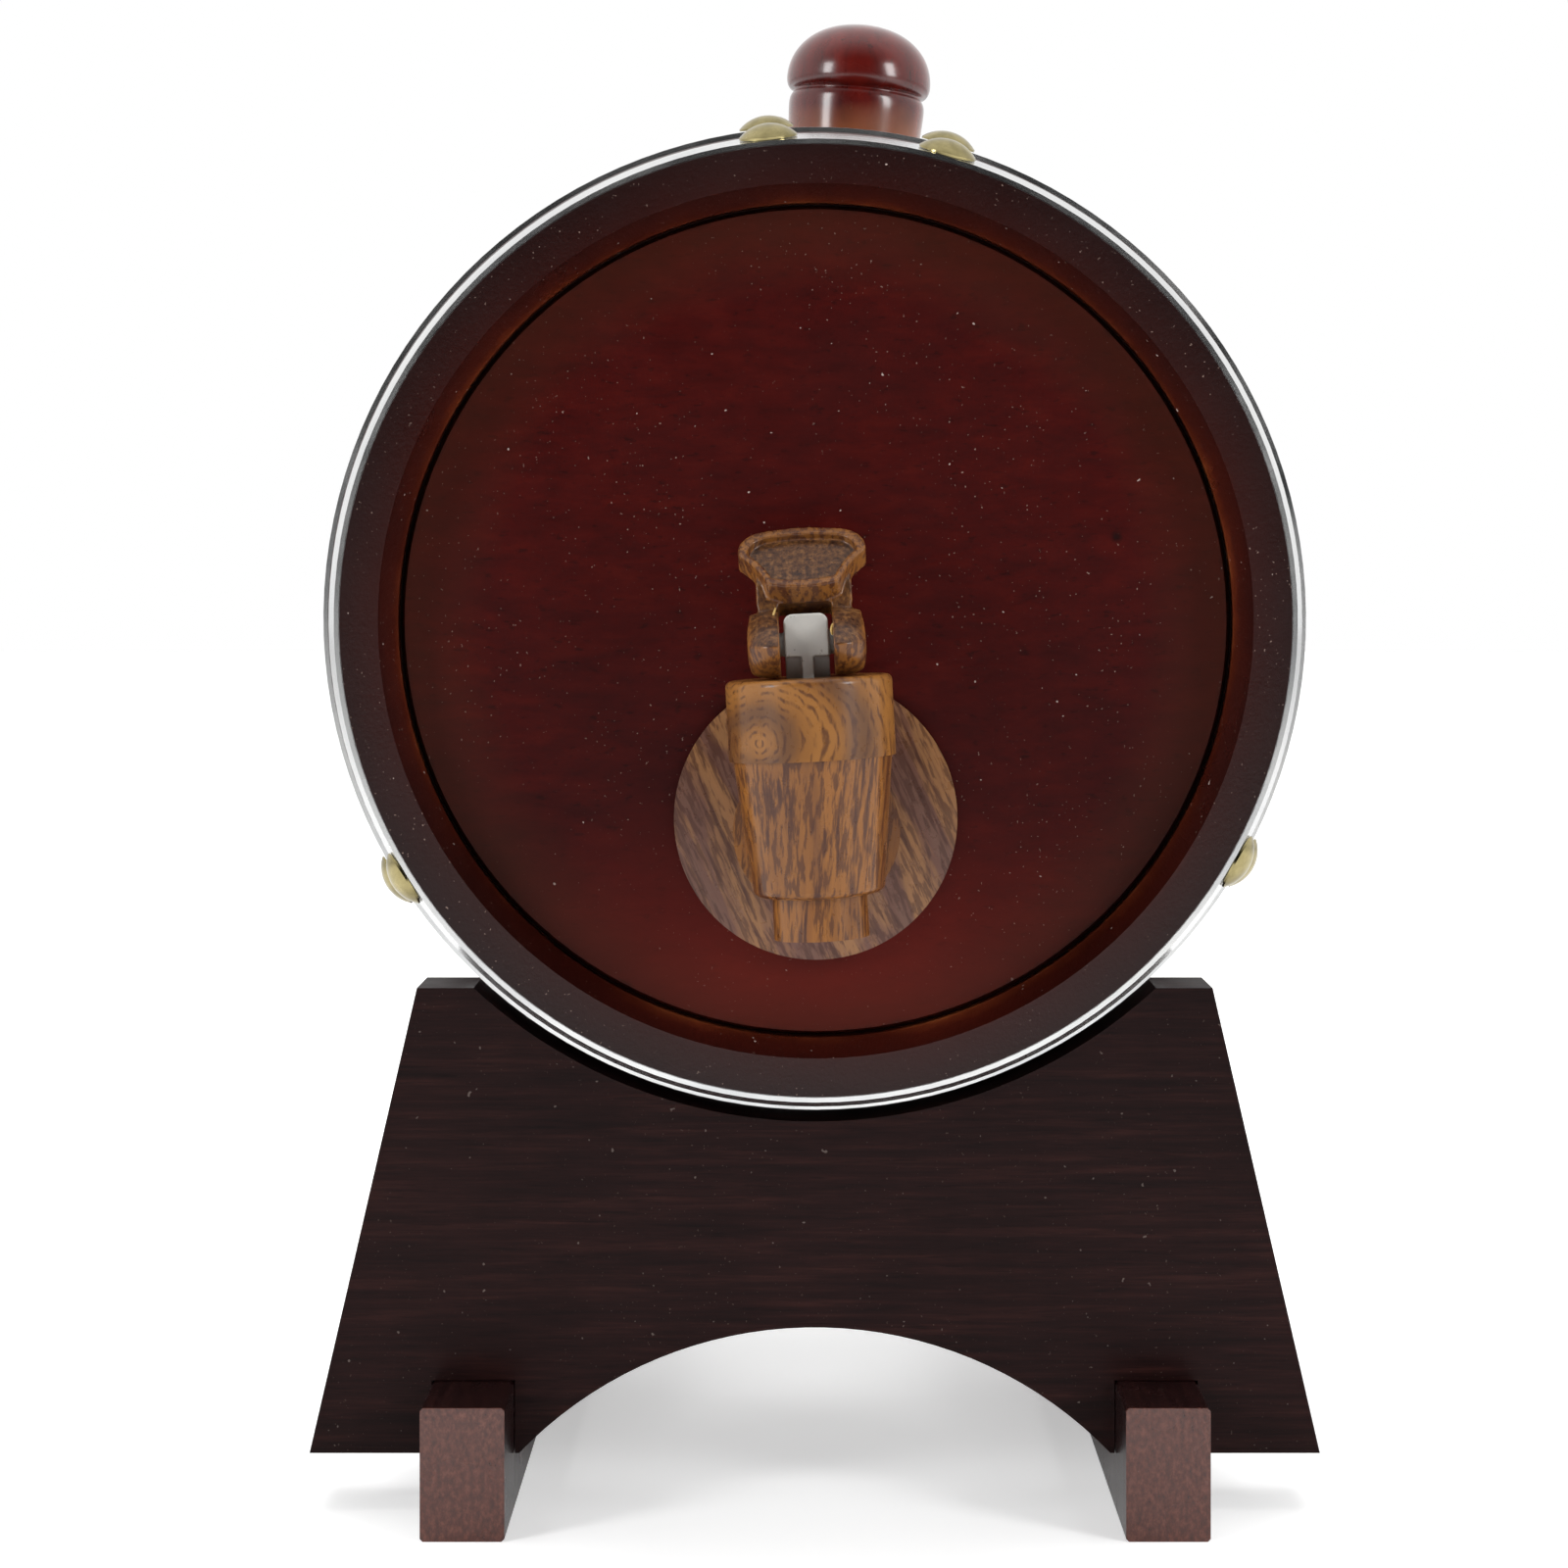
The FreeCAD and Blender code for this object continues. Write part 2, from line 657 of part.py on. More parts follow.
def make_tap_body():
    body = new_body("tap_body")
    edge = "shell_edge_radius"
    shell = [
        ("0", "-spout_bottom"),
        ("spout_radius", "-spout_bottom"),
        ("spout_radius", "-shell_bottom"),
        (f"shell_low_radius - {edge}", "-shell_bottom", edge, "left"),
        ("shell_low_radius", f"-shell_bottom + {edge}"),
        ("shell_top_radius", "seam_height"),
        ("neck_radius", "seam_height"),
        ("neck_radius", "neck_top"),
        ("0", "neck_top"),
    ]
    turn(body, outline(body, "shell", "XZ_Plane", shell), "V_Axis")
    collar = circle(body, "collar", "XZ_Plane", "0", "0", "collar_radius")
    extrude(body, collar, FLANGE_FRONT, way="against")
    shank = circle(body, "shank", "XZ_Plane", "0", "0", "shank_radius")
    extrude(body, shank, "tap_reach + shank_length", way="against")
    hollow = [
        ("0", "-spout_bottom - cutter_overrun"),
        ("outlet_radius", "-spout_bottom - cutter_overrun"),
        ("outlet_radius", "-seat_low"),
        ("cavity_radius", "-seat_high"),
        ("cavity_radius", "neck_top + cutter_overrun"),
        ("0", "neck_top + cutter_overrun"),
    ]
    turn(body, outline(body, "hollow", "XZ_Plane", hollow), "V_Axis", kind="Groove")
    cap_seat = [
        ("neck_radius", "seam_height"),
        ("cap_radius + cap_seat_relief", "seam_height"),
        ("cap_radius + cap_seat_relief", "neck_top + cutter_overrun"),
        ("neck_radius", "neck_top + cutter_overrun"),
    ]
    turn(body, outline(body, "cap_seat", "XZ_Plane", cap_seat), "V_Axis", kind="Groove")
    inlet = circle(body, "inlet", "XZ_Plane", "0", "0", "inlet_radius")
    extrude(body, inlet, "tap_reach + shank_length + cutter_overrun", way="against", kind="Pocket")
    place_on_tap(body)
    keep(body)


def make_ring(label, steps):
    """A round piece on the shank, turned about it."""
    body = new_body(label)
    turn(body, outline(body, label + "_outline", "YZ_Plane", steps), "H_Axis")
    place_on_tap(body)
    keep(body)


def make_tap_washers():
    bore = "(shank_radius + shank_fit)"
    dome_rise = "(flange_thickness - flange_rim)"
    dome_run = "(flange_radius - collar_radius)"
    dome_radius = f"(({dome_run}^2 + {dome_rise}^2) / (2 * {dome_rise}))"
    make_ring(
        "tap_flange",
        [
            (FLANGE_FRONT, bore),
            (FLANGE_BACK, bore),
            (FLANGE_BACK, "flange_radius"),
            (f"{FLANGE_BACK} - flange_rim", "flange_radius", dome_radius, "left"),
            (FLANGE_FRONT, "collar_radius"),
        ],
    )
    for label, front in (
        ("tap_front_gasket", FLANGE_BACK),
        ("tap_rear_gasket", "(tap_reach + head_thickness)"),
    ):
        back = f"({front} + gasket_thickness)"
        steps = [(front, bore), (back, bore), (back, "gasket_radius"), (front, "gasket_radius")]
        make_ring(label, steps)


def make_tap_nut():
    """A hexagon drawn out from the valve axis, less the length in front of its seat and its bore."""
    body = new_body("tap_nut")
    corner = "(nut_flats / sqrt(3))"
    corner_turns = range(30, 390, 60)
    steps = [(f"{corner} * cos({turned})", f"{corner} * sin({turned})") for turned in corner_turns]
    sketch = outline(body, "nut_hexagon", "XZ_Plane", steps)
    extrude(body, sketch, f"{NUT_FRONT} + nut_thickness", way="against")
    around = [
        ("-nut_flats", "-nut_flats"),
        ("nut_flats", "-nut_flats"),
        ("nut_flats", "nut_flats"),
        ("-nut_flats", "nut_flats"),
    ]
    in_front = outline(body, "nut_front", "XZ_Plane", around)
    extrude(body, in_front, NUT_FRONT, way="against", kind="Pocket")
    bore = circle(body, "nut_bore", "XZ_Plane", "0", "0", "shank_radius + shank_fit")
    extrude(body, bore, f"{NUT_FRONT} + nut_thickness + cutter_overrun", way="against", kind="Pocket")
    place_on_tap(body)
    keep(body)


def make_tap_cap():
    body = new_body("tap_cap")
    roof = "(cap_top - cap_roof)"
    edge = "cap_edge_radius"
    steps = [
        ("neck_radius + cap_thread_fit", "seam_height"),
        ("cap_radius", "seam_height"),
        ("cap_radius", f"cap_top - {edge}", edge, "left"),
        (f"cap_radius - {edge}", "cap_top"),
        ("stem_hole_radius", "cap_top"),
        ("stem_hole_radius", roof),
        ("neck_radius + cap_thread_fit", roof),
    ]
    turn(body, outline(body, "cap_outline", "XZ_Plane", steps), "V_Axis")
    place_on_tap(body)
    keep(body)


def make_seat_cup():
    """Rim, bell, nose, and the undercut pocket that holds the stem's foot."""
    rim_low = "(neck_top + cup_rim_gap)"
    rim_high = f"({rim_low} + cup_rim_thickness)"
    bell_out = "(cavity_radius - cup_clearance)"
    slope = "((seat_low - seat_high) / (cavity_radius - outlet_radius))"
    tip_radius = "(outlet_radius - cup_clearance)"
    foot_pocket = "(stem_foot_radius + stem_foot_fit)"
    pocket_low = "(stem_foot_low - stem_foot_fit)"
    pocket_top = "(stem_foot_low + stem_foot_height + stem_foot_fit)"
    tip = f"(-seat_low + ({tip_radius} - outlet_radius) * {slope} + cup_seat_gap)"
    nose = f"(-seat_low + (cup_nose_radius - outlet_radius) * {slope} + cup_seat_gap)"
    steps = [
        ("0", tip),
        (tip_radius, tip),
        ("cup_nose_radius", nose),
        ("cup_nose_radius", "cup_shoulder"),
        (bell_out, rim_low),
        ("neck_radius", rim_low),
        ("neck_radius", rim_high),
        (f"{bell_out} - cup_wall", rim_high),
        ("cup_nose_radius - cup_wall", "cup_lip_height"),
        ("cup_pocket_radius", "cup_lip_height"),
        ("cup_pocket_radius", pocket_top),
        (foot_pocket, pocket_top),
        (foot_pocket, pocket_low),
        ("0", pocket_low),
    ]
    body = new_body("tap_seat_cup")
    turn(body, outline(body, "cup_outline", "XZ_Plane", steps), "V_Axis")
    place_on_tap(body)
    keep(body)


def make_stem():
    body = new_body("tap_stem")
    wide = "stem_half_width"
    web = "(stem_web / 2)"
    cross = [
        (wide, web),
        (web, web),
        (web, wide),
        (f"-{web}", wide),
        (f"-{web}", web),
        (f"-{wide}", web),
        (f"-{wide}", f"-{web}"),
        (f"-{web}", f"-{web}"),
        (f"-{web}", f"-{wide}"),
        (web, f"-{wide}"),
        (web, f"-{web}"),
        (wide, f"-{web}"),
    ]
    rod = outline(body, "stem_cross", "XY_Plane", cross)
    rod.AttachmentOffset = FreeCAD.Placement(
        FreeCAD.Vector(0, 0, value("stem_foot_low")), FreeCAD.Rotation()
    )
    extrude(body, rod, "stem_head_low - stem_foot_low + stem_head_round", way="normal")
    foot = circle(body, "stem_foot", "XY_Plane", "0", "0", "stem_foot_radius")
    foot.AttachmentOffset = rod.AttachmentOffset
    extrude(body, foot, "stem_foot_height", way="normal")
    crown = "stem_head_round"
    head = [
        (f"-{wide}", "stem_head_low"),
        (wide, "stem_head_low"),
        (wide, f"stem_head_top - {crown}", crown, "left"),
        (f"{wide} - {crown}", "stem_head_top"),
        (f"-{wide} + {crown}", "stem_head_top", crown, "left"),
        (f"-{wide}", f"stem_head_top - {crown}"),
    ]
    extrude(body, outline(body, "stem_head", "XZ_Plane", head), "2 * stem_half_width")
    pins = circle(body, "stem_pins", "YZ_Plane", "0", "pin_height", "pin_radius")
    extrude(body, pins, "2 * (ear_half_gap + pin_length)")
    place_on_tap(body)
    keep(body)


# Lever, modelled about its pin; the cam's reach below the pin grows evenly with the lever's angle
CAM_STEPS = 5
CAM_REACH = "(pin_height - cap_top - cam_gap)"


def cam_steps():
    """Rest flat, then arcs round an evenly unwinding line, up to the nose."""
    points = [("0", f"-{CAM_REACH}")]
    for index in range(CAM_STEPS + 1):
        turned = f"(lever_travel * {index} / {CAM_STEPS})"
        grown = f"({CAM_REACH} + cam_rise * {turned} * pi / 180)"
        y = f"(-{grown} * sin({turned}) - cam_rise * cos({turned}))"
        z = f"(-{grown} * cos({turned}) + cam_rise * sin({turned}))"
        if index < CAM_STEPS:
            middle = f"({grown} + cam_rise * lever_travel / {CAM_STEPS} * pi / 360)"
            points.append((y, z, middle, "right"))
        else:
            points.append((y, z, "ear_brow_radius", "right"))
    return points


def tray_outline(body, name, inset):
    """The tray's outline seen square on: a narrow front lip, round cheeks and a crowned back."""
    corner_inset = f"({inset} / 2)"
    wide = f"(tray_half_width - {inset})"
    lip = f"(tray_lip_half - {corner_inset})"
    back = f"(tray_back_half - {corner_inset})"
    front = f"({inset} + tray_lip_crown)"
    far = f"(tray_length - {inset} - tray_lip_crown)"
    shoulder = f"(tray_shoulder_radius - {corner_inset})"
    steps = [
        (f"-{lip}", front, "tray_lip_radius", "left"),
        (lip, front, "tray_cheek_radius", "right"),
        (wide, "tray_wide_at", shoulder, "left"),
        (back, far, "tray_end_radius", "left"),
        (f"-{back}", far, shoulder, "left"),
        (f"-{wide}", "tray_wide_at", "tray_cheek_radius", "right"),
    ]
    return outline(body, name, "XY_Plane", steps)


def make_lever():
    body = new_body("tap_lever")
    ear = cam_steps() + [
        (
            "-ear_top_radius * sin(ear_brow_turn)",
            "ear_top_radius * cos(ear_brow_turn)",
            "ear_top_radius",
            "right",
        ),
        (
            "ear_top_radius * sin(ear_back_turn)",
            "ear_top_radius * cos(ear_back_turn)",
            "ear_top_radius",
            "right",
        ),
        (CAM_REACH, "0", CAM_REACH, "right"),
    ]
    extrude(body, outline(body, "lever_ears", "YZ_Plane", ear), "2 * ear_half_width")

    along_y, along_z = "sin(tray_lean)", "cos(tray_lean)"
    top_y = "(tray_lip_back - tray_thickness * cos(tray_lean))"
    top_z = "(tray_lip_height + tray_thickness * sin(tray_lean))"
    core_y = "(tray_lip_back - tray_thickness / 2 * cos(tray_lean))"
    core_z = "(tray_lip_height + tray_thickness / 2 * sin(tray_lean))"
    arm = [
        ("-arm_front", "0"),
        (f"{core_y} + arm_start * {along_y}", f"{core_z} + arm_start * {along_z}"),
        (f"{core_y} + arm_end * {along_y}", f"{core_z} + arm_end * {along_z}"),
        ("arm_back", "0"),
    ]
    extrude(body, outline(body, "lever_arms", "YZ_Plane", arm), "2 * arm_half_width")

    tray = tray_outline(body, "lever_tray", "0")
    tray.AttachmentOffset = FreeCAD.Placement(
        FreeCAD.Vector(0, value(top_y), value(top_z)),
        FreeCAD.Rotation(FreeCAD.Vector(1, 0, 0), 90 - value("tray_lean")),
    )
    extrude(body, tray, "tray_thickness", way="against")
    past_ears = "-2 * yoke_radius"
    yoke = [
        (past_ears, "yoke_radius"),
        ("0", "yoke_radius", "yoke_radius", "right"),
        ("yoke_radius", "0"),
        ("yoke_radius", past_ears),
        (past_ears, past_ears),
    ]
    extrude(body, outline(body, "lever_yoke", "YZ_Plane", yoke), "2 * ear_half_gap", kind="Pocket")
    dish = tray_outline(body, "lever_dish", "tray_rim")
    dish.AttachmentOffset = tray.AttachmentOffset
    extrude(body, dish, "tray_dish_depth", way="against", kind="Pocket")
    holes = circle(body, "lever_holes", "YZ_Plane", "0", "0", "pin_radius + pin_fit")
    extrude(body, holes, "2 * (ear_half_gap + pin_length + pin_end_gap)", kind="Pocket")
    place_on_tap(body, "pin_height")
    keep(body)


def check_and_write():
    """Stop on any failed object or bad shape, then write every sub-part under its label."""
    doc.recompute()
    for item in doc.Objects:
        for word in ("Invalid", "Error"):
            if word in item.State:
                raise RuntimeError(item.Label + " is " + word)
    for sub_part in nodes:
        shape = sub_part.Shape
        if shape.isNull() or not shape.isValid() or not shape.Solids:
            raise RuntimeError(sub_part.Label + " has no good shape")
    for sub_part in nodes:
        sub_part.Shape.exportStep(os.path.join(PARTS_FOLDER, sub_part.Label + ".step"))
        box = sub_part.Shape.BoundBox
        print(
            f"{sub_part.Label:26s} solids {len(sub_part.Shape.Solids)}"
            f" volume {sub_part.Shape.Volume:10.1f} mm3"
            f" x {box.XMin:7.1f} {box.XMax:6.1f} y {box.YMin:7.1f} {box.YMax:6.1f}"
            f" z {box.ZMin:6.1f} {box.ZMax:6.1f}"
        )
    print(len(nodes), "sub-parts")


os.makedirs(PARTS_FOLDER, exist_ok=True)
nail_drills = make_nails()
make_staves(nail_drills)
make_head("front_head", f"-{HEAD_FACE}", "0", tap_hole=True)
make_head("rear_head", HEAD_FACE, "180", tap_hole=False)
for hoop_label, hoop_place in HOOPS.items():
    make_hoop(hoop_label, *hoop_place, nail_drills[hoop_label])
make_bung()
make_plate("stand_front_plate", -1)
make_plate("stand_rear_plate", 1)
make_rail("stand_left_rail", -1)
make_rail("stand_right_rail", 1)
make_tap_body()
make_tap_washers()
make_tap_nut()
make_tap_cap()
make_seat_cup()
make_stem()
make_lever()
check_and_write()
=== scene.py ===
# Small cask on its cradle stand: materials, fine surface detail, camera and light for the CAD frame.
import math
import bpy
from mathutils import Matrix, Vector


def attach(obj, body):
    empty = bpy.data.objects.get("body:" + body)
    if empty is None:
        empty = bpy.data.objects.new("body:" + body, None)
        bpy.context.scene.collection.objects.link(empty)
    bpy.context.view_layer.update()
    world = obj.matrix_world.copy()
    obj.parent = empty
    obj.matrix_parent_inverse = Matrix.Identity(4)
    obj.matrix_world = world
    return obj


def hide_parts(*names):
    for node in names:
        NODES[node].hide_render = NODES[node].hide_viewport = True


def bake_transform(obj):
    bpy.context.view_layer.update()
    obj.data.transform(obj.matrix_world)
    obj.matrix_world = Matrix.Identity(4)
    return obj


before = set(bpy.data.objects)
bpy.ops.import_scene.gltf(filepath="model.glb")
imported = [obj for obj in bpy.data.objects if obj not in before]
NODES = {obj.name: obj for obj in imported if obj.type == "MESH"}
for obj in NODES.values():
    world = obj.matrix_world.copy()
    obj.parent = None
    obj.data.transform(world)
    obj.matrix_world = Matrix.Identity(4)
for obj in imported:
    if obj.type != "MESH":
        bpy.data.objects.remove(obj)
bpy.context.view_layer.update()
MM = 0.001
AXIS_HEIGHT = 126.4
TAP_LEAN = math.radians(3.0)
FLANGE_TURN = math.radians(24.0)
TAP_CENTRE = Vector((0, -111, 100.1)) * MM
PIN_HEIGHT = 23.6 * MM


def inputs(node, **values):
    for name, amount in values.items():
        node.inputs[name.replace("_", " ")].default_value = amount
    return node


def placed(name, data):
    """A new object of that name in the scene, with that mesh, curve, light or camera."""
    item = bpy.data.objects.new(name, data)
    bpy.context.scene.collection.objects.link(item)
    return item


class Finish:
    """A node material: coordinates, noises and ramps that end in one Principled shader."""

    def __init__(self, name, **sockets):
        self.material = bpy.data.materials.new(name)
        self.material.use_nodes = True
        self.tree = self.material.node_tree
        self.shader = self.tree.nodes["Principled BSDF"]
        inputs(self.shader, **sockets)
        self.place = self.tree.nodes.new("ShaderNodeTexCoord").outputs["Object"]

    def link(self, source, target):
        self.tree.links.new(source, target)

    def to(self, name, source):
        self.link(source, self.shader.inputs[name])

    def stretched(self, scale, turn=(0, 0, 0), move=(0, 0, 0), source=None):
        node = self.tree.nodes.new("ShaderNodeMapping")
        inputs(node, Scale=scale, Rotation=turn, Location=move)
        self.link(source or self.place, node.inputs["Vector"])
        return node.outputs["Vector"]

    def noise(self, vector, scale=1.0, detail=6.0, rough=0.6, distortion=0.0):
        node = self.tree.nodes.new("ShaderNodeTexNoise")
        inputs(node, Scale=scale, Detail=detail, Roughness=rough, Distortion=distortion)
        self.link(vector, node.inputs["Vector"])
        return node.outputs["Fac"]

    def ramp(self, source, *stops):
        node = self.tree.nodes.new("ShaderNodeValToRGB")
        band = node.color_ramp
        while len(band.elements) < len(stops):
            band.elements.new(0.5)
        for element, (position, colour) in zip(band.elements, stops):
            element.position = position
            element.color = (*colour, 1)
        self.link(source, node.inputs["Fac"])
        return node.outputs["Color"]

    def grey(self, source, low, high, first=0.0, last=1.0):
        node = self.tree.nodes.new("ShaderNodeMapRange")
        for name, amount in (("From Min", low), ("From Max", high), ("To Min", first), ("To Max", last)):
            node.inputs[name].default_value = amount
        self.link(source, node.inputs["Value"])
        return node.outputs["Result"]

    def math(self, operation, first, second=0):
        node = self.tree.nodes.new("ShaderNodeMath")
        node.operation = operation
        for socket, item in zip(node.inputs, (first, second)):
            if isinstance(item, (int, float)):
                socket.default_value = item
            else:
                self.link(item, socket)
        return node.outputs[0]

    def mix(self, share, first, second):
        node = self.tree.nodes.new("ShaderNodeMix")
        node.data_type = "RGBA"
        self.link(share, node.inputs[0])
        for socket, item in ((node.inputs[6], first), (node.inputs[7], second)):
            if isinstance(item, tuple):
                socket.default_value = (*item, 1)
            else:
                self.link(item, socket)
        return node.outputs[2]

    def bump(self, height, strength=0.3, distance=0.0002):
        node = self.tree.nodes.new("ShaderNodeBump")
        inputs(node, Strength=strength, Distance=distance)
        self.link(height, node.inputs["Height"])
        self.to("Normal", node.outputs["Normal"])

    def parts(self, vector):
        node = self.tree.nodes.new("ShaderNodeSeparateXYZ")
        self.link(vector, node.inputs[0])
        return node.outputs

    def length(self, vector):
        node = self.tree.nodes.new("ShaderNodeVectorMath")
        node.operation = "LENGTH"
        self.link(vector, node.inputs[0])
        return node.outputs["Value"]

    def dot(self, vector, direction):
        node = self.tree.nodes.new("ShaderNodeVectorMath")
        node.operation = "DOT_PRODUCT"
        node.inputs[1].default_value = direction
        self.link(vector, node.inputs[0])
        return node.outputs["Value"]

    def base_colour(self):
        return self.shader.inputs["Base Color"].links[0].from_socket


SMALL_DUST = (0.5, 0.36, 0.3)
LARGE_DUST = (0.62, 0.5, 0.45)


def dusted(finish, colour, amount, shift=(0, 0, 0)):
    """The colour with pale dust specks over it, many small and a few larger."""
    fine = finish.noise(finish.stretched((2300, 2300, 2300), move=shift), detail=1)
    large = finish.noise(finish.stretched((1000, 1000, 1000), move=shift), detail=1)
    gather = finish.noise(finish.stretched((60, 60, 60), move=shift), detail=3)
    small = finish.grey(fine, 0.735, 0.77, 0.0, 0.6 * amount)
    gathered = finish.math("MULTIPLY", small, finish.grey(gather, 0.35, 0.6))
    powdered = finish.mix(gathered, colour, SMALL_DUST)
    return finish.mix(finish.grey(large, 0.775, 0.8, 0.0, amount), powdered, LARGE_DUST)


def wood(
    name, colours, grain, rough=0.3, coat=0.5, seed=0.0, specks=0.0, patch=0.5, bump=0.35, shine=0.4,
):
    """Stained wood: fine fibres along the grain, slow patches of stain, pale dust specks, lacquer."""
    finish = Finish(name, Roughness=rough, Coat_Weight=coat, Coat_Roughness=0.14, Specular_IOR_Level=shine)
    dark, middle, light = colours
    shift = (seed * 0.13, seed * 0.31, seed * 0.07)
    fibres = finish.noise(finish.stretched(grain, move=shift), detail=9, rough=0.68, distortion=0.25)
    base = finish.ramp(fibres, (0.3, dark), (0.52, middle), (0.78, light))
    clouds = finish.noise(finish.stretched((38, 38, 38), move=shift), detail=5, rough=0.6)
    patched = finish.mix(finish.grey(clouds, 0.5, 0.72, 0.0, patch), base, dark)
    pores = finish.noise(finish.stretched(tuple(3.1 * part for part in grain), move=shift), detail=3)
    darkest = tuple(0.35 * part for part in dark)
    colour = finish.mix(finish.grey(pores, 0.6, 0.7, 0.0, 0.55), patched, darkest)
    if specks:
        colour = dusted(finish, colour, specks, shift)
    finish.to("Base Color", colour)
    finish.to("Roughness", finish.grey(clouds, 0.3, 0.7, rough - 0.06, rough + 0.12))
    finish.bump(finish.math("ADD", fibres, finish.math("MULTIPLY", pores, 0.6)), bump)
    return finish


# Woods: the knot and the heights are in millimetres, angles in degrees, radii and lengths in metres
KNOT = (40.3, 137.6)
STAVE_ANGLE = 22.5
BUNG_ANGLE = 4.9
# Height of the painted highlight on the head below the tap, in millimetres
PAINTED_HIGHLIGHT_HEIGHT = 83.5
HALO_RADII = (0.046, 0.0565)
# Radii of the painted shade in the groove where the head meets the staves
GROOVE_SHADE_RADII = (0.0547, 0.0557)
# Radii of the painted highlight along the inner edge of the stave ends
EDGE_HIGHLIGHT_RADII = (0.0555, 0.0635)
STAVE_SIDE = (0.094, 0.0935)
STAVE_END = (0.0866, 0.0869)
RAIL_END = (0.0783, 0.0788)
BARE_WOOD_HEIGHT = 76.5


def cask_radius(finish):
    """How far a point is from the cask's axis."""
    return finish.length(finish.stretched((1, 0, 1), move=(0, 0, -AXIS_HEIGHT * MM)))


def cask_angle(finish):
    """A point's angle about the cask's axis, in degrees from the top towards the right."""
    centred = finish.parts(finish.stretched((1, 1, 1), move=(0, 0, -AXIS_HEIGHT * MM)))
    return finish.math("DEGREES", finish.math("ARCTAN2", centred["X"], centred["Z"]))


def from_middle(finish):
    """How far a point is from the middle of the cask's length."""
    return finish.math("ABSOLUTE", finish.parts(finish.place)["Y"])


def head_finish():
    """Deep red board with painted shade in the groove at its edge, a brown halo inside it, a painted
    highlight low down as a brighter red patch, and a knot.
    """
    finish = wood(
        "head_wood_stained",
        ((0.026, 0.0012, 0.0009), (0.042, 0.0018, 0.0012), (0.062, 0.0036, 0.0019)),
        (140, 300, 420), rough=0.42, coat=0.05, seed=3, specks=0.6, patch=0.6, bump=0.15, shine=0.09,
    )
    radius = cask_radius(finish)
    wander = finish.noise(finish.stretched((70, 70, 70)), detail=6, rough=0.65)
    moved = finish.math("ADD", radius, finish.math("MULTIPLY", wander, 0.005))
    browned = finish.grey(moved, *HALO_RADII, 0.0, 0.5)
    halo = finish.mix(browned, finish.base_colour(), (0.05, 0.013, 0.006))
    # Painted highlight: the head is painted a brighter red in a patch below the tap
    from_painted_highlight = finish.length(finish.stretched((0.75, 0, 1.5), move=(0, 0, -1.5 * PAINTED_HIGHLIGHT_HEIGHT * MM)))
    glow = finish.mix(finish.grey(from_painted_highlight, 0.008, 0.034, 0.45, 0.0), halo, (0.13, 0.008, 0.003))
    # Painted shade: a ragged near-black line along the groove where the head meets the staves
    ragged = finish.noise(finish.stretched((420, 420, 420)), detail=5, rough=0.7)
    uneven = finish.math("MULTIPLY", finish.math("SUBTRACT", ragged, 0.5), 0.0022)
    edge = finish.math("ADD", radius, uneven)
    groove = finish.mix(finish.grey(edge, *GROOVE_SHADE_RADII, 0.0, 0.85), glow, (0.012, 0.0035, 0.002))
    from_knot = finish.length(finish.stretched((1, 0, 1), move=(-KNOT[0] * MM, 0, -KNOT[1] * MM)))
    spread = finish.math("ADD", from_knot, finish.math("MULTIPLY", ragged, 0.0009))
    knot = finish.mix(finish.grey(spread, 0.0007, 0.0015, 0.85, 0.0), groove, (0.006, 0.001, 0.001))
    finish.to("Base Color", knot)
    return finish


